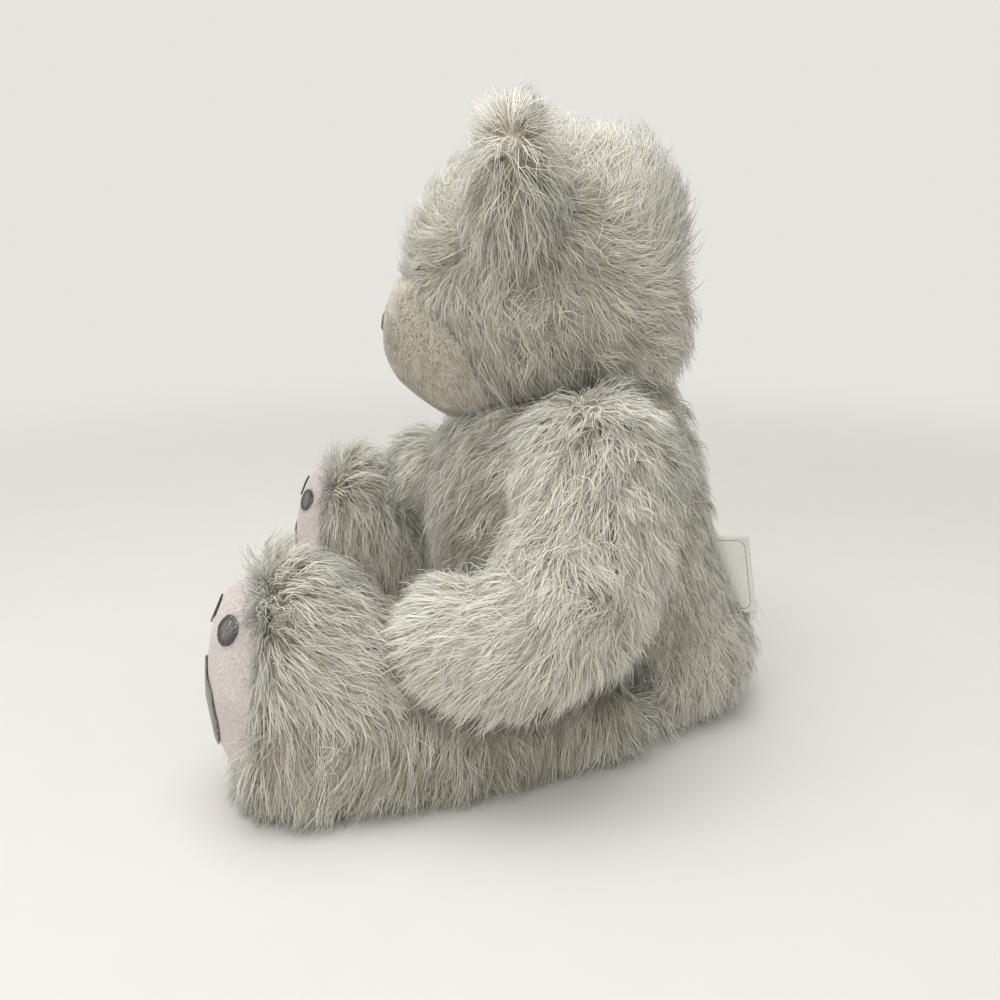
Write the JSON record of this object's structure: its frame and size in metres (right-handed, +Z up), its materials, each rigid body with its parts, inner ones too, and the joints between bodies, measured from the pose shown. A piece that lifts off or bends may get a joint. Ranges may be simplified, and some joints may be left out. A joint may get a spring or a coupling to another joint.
{
  "type": "teddy bear",
  "caption": "Seated teddy bear of long silver-grey plush, disc-jointed at neck, shoulders and hips, with a tan muzzle, embroidered soles and a bare sewn-in label.",
  "frame": {"origin": "middle of the flat seat, on the surface the bear sits on", "axes": "+Z up, -Y the way the bear faces, +X its own left"},
  "size_m": [0.2712, 0.2712, 0.303],
  "materials": {
    "plush": "long shaggy pile, silver-grey with paler tips",
    "muzzle_plush": "short dense pile, warm grey",
    "lilac_nap": "short brushed nap, very pale lilac-grey",
    "grey_pad": "smooth grey pad cloth",
    "dark_thread": "satin-stitched thread",
    "polyester_fill": "loose white fibre",
    "pellet_cloth": "plain woven bag",
    "label_satin": "white satin ribbon, bare",
    "hardboard": "pressed brown board",
    "steel": "bright drawn wire and stamped sheet",
    "black_plastic": "glossy",
    "white_plastic": "moulded"
  },
  "bodies": {
    "torso": {"torso_cover": "plush", "torso_stuffing": "polyester_fill", "pellet_bag": "pellet_cloth", "sewn_label": "label_satin", "neck_body_disc": "hardboard", "neck_body_washer": "steel", "left_shoulder_body_disc": "hardboard", "right_shoulder_body_disc": "hardboard", "left_shoulder_body_washer": "steel", "right_shoulder_body_washer": "steel", "left_hip_body_disc": "hardboard", "right_hip_body_disc": "hardboard", "left_hip_body_washer": "steel", "right_hip_body_washer": "steel"},
    "head": {"head_cover": "plush", "head_stuffing": "polyester_fill", "muzzle": "muzzle_plush", "nose": "dark_thread", "mouth_stitching": "dark_thread", "left_eye": "black_plastic", "right_eye": "black_plastic", "left_eye_washer": "white_plastic", "right_eye_washer": "white_plastic", "left_ear": "plush", "right_ear": "plush", "neck_head_disc": "hardboard", "neck_head_washer": "steel", "neck_pin": "steel"},
    "left_arm": {"left_arm_cover": "plush", "left_arm_stuffing": "polyester_fill", "left_paw_pad": "lilac_nap", "left_shoulder_arm_disc": "hardboard", "left_shoulder_arm_washer": "steel", "left_shoulder_pin": "steel"},
    "right_arm": {"right_arm_cover": "plush", "right_arm_stuffing": "polyester_fill", "right_paw_pad": "lilac_nap", "right_shoulder_arm_disc": "hardboard", "right_shoulder_arm_washer": "steel", "right_shoulder_pin": "steel"},
    "left_leg": {"left_leg_cover": "plush", "left_leg_stuffing": "polyester_fill", "left_sole": "lilac_nap", "left_sole_main_pad": "grey_pad", "left_outer_toe": "dark_thread", "left_middle_toe": "dark_thread", "left_inner_toe": "dark_thread", "left_hip_leg_disc": "hardboard", "left_hip_leg_washer": "steel", "left_hip_pin": "steel"},
    "right_leg": {"right_leg_cover": "plush", "right_leg_stuffing": "polyester_fill", "right_sole": "lilac_nap", "right_sole_main_pad": "grey_pad", "right_outer_toe": "dark_thread", "right_middle_toe": "dark_thread", "right_inner_toe": "dark_thread", "right_hip_leg_disc": "hardboard", "right_hip_leg_washer": "steel", "right_hip_pin": "steel"}
  },
  "joints": [
    {"name": "neck_turn", "type": "hinge", "parent": "torso", "child": "head", "pos_m": [0, -0.002, 0.181], "axis": [0, -0.1908, 0.9816], "continuous": true},
    {"name": "left_shoulder", "type": "hinge", "parent": "torso", "child": "left_arm", "pos_m": [0.04926, 0, 0.148], "axis": [-0.9703, 0, -0.2419], "range_deg": [0, 60]},
    {"name": "right_shoulder", "type": "hinge", "parent": "torso", "child": "right_arm", "pos_m": [-0.04926, 0, 0.148], "axis": [-0.9703, 0, 0.2419], "range_deg": [-20, 40]},
    {"name": "left_hip", "type": "hinge", "parent": "torso", "child": "left_leg", "pos_m": [0.0476, 0, 0.028], "axis": [0.9903, 0.1392, 0], "range_deg": [0, 90]},
    {"name": "right_hip", "type": "hinge", "parent": "torso", "child": "right_leg", "pos_m": [-0.0476, 0, 0.028], "axis": [0.9903, -0.1392, 0], "range_deg": [0, 90]}
  ]
}
